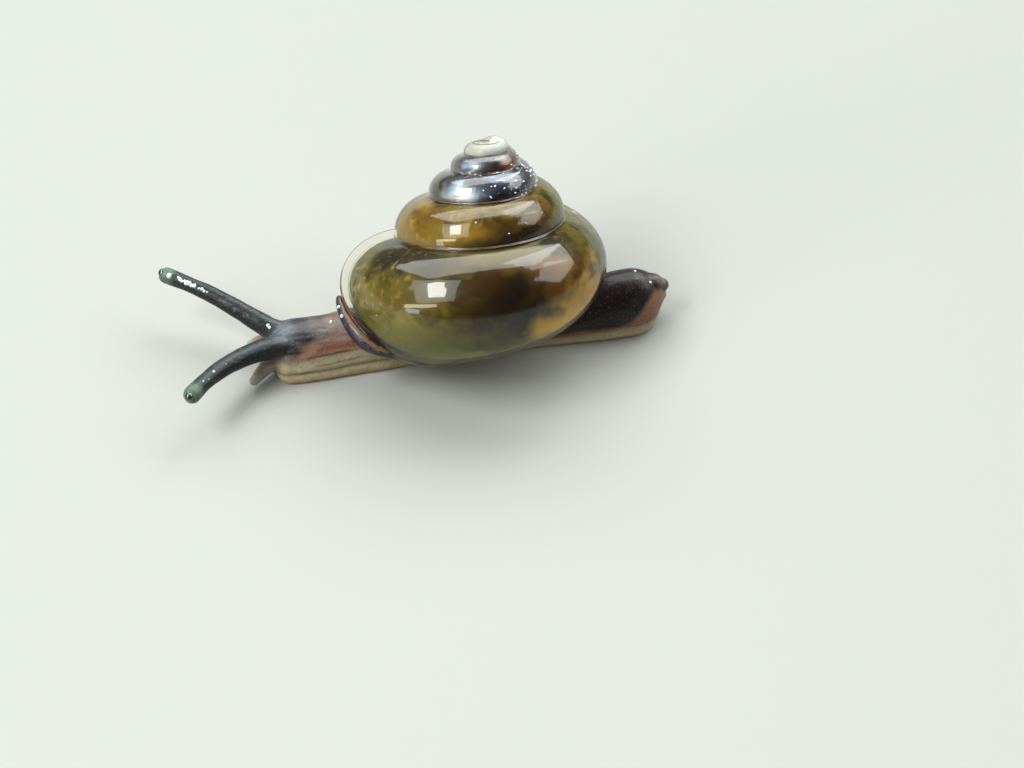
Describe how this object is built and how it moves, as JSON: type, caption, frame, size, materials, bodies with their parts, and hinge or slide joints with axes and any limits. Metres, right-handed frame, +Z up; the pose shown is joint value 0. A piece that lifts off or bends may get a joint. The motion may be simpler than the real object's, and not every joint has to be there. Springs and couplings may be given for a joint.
{
  "type": "small glassy land snail, habroconus",
  "caption": "Still model of a small crawling land snail with a glassy amber conical shell, dark slate head and tentacles, and a short blunt tail.",
  "frame": {"origin": "on the floor under the middle of the whole model's box", "axes": "+X runs from the head to the tail, so the head points along -X; +Y is the animal's right side; +Z is up, and the sole lies on z = 0"},
  "size_m": [0.0104, 0.0048, 0.0042],
  "materials": {
    "shell": "thin, clear amber shell with a wet glassy polish",
    "mantle": "moist mantle and body seen through the shell, golden olive with black-brown mottling",
    "skin": "wet, finely wrinkled skin, slate black above and pale cream along the foot",
    "eye": "wet black eye spot"
  },
  "bodies": {
    "root": {"shell": "shell", "mantle_collar": "mantle", "head": "skin", "neck": "skin", "trunk": "skin", "tail": "skin", "caudal_horn": "skin", "upper_tentacle_left_root": "skin", "upper_tentacle_left_end": "skin", "upper_tentacle_right_root": "skin", "upper_tentacle_right_end": "skin", "lower_tentacle_left": "skin", "lower_tentacle_right": "skin", "eye_left": "eye", "eye_right": "eye"}
  },
  "joints": []
}
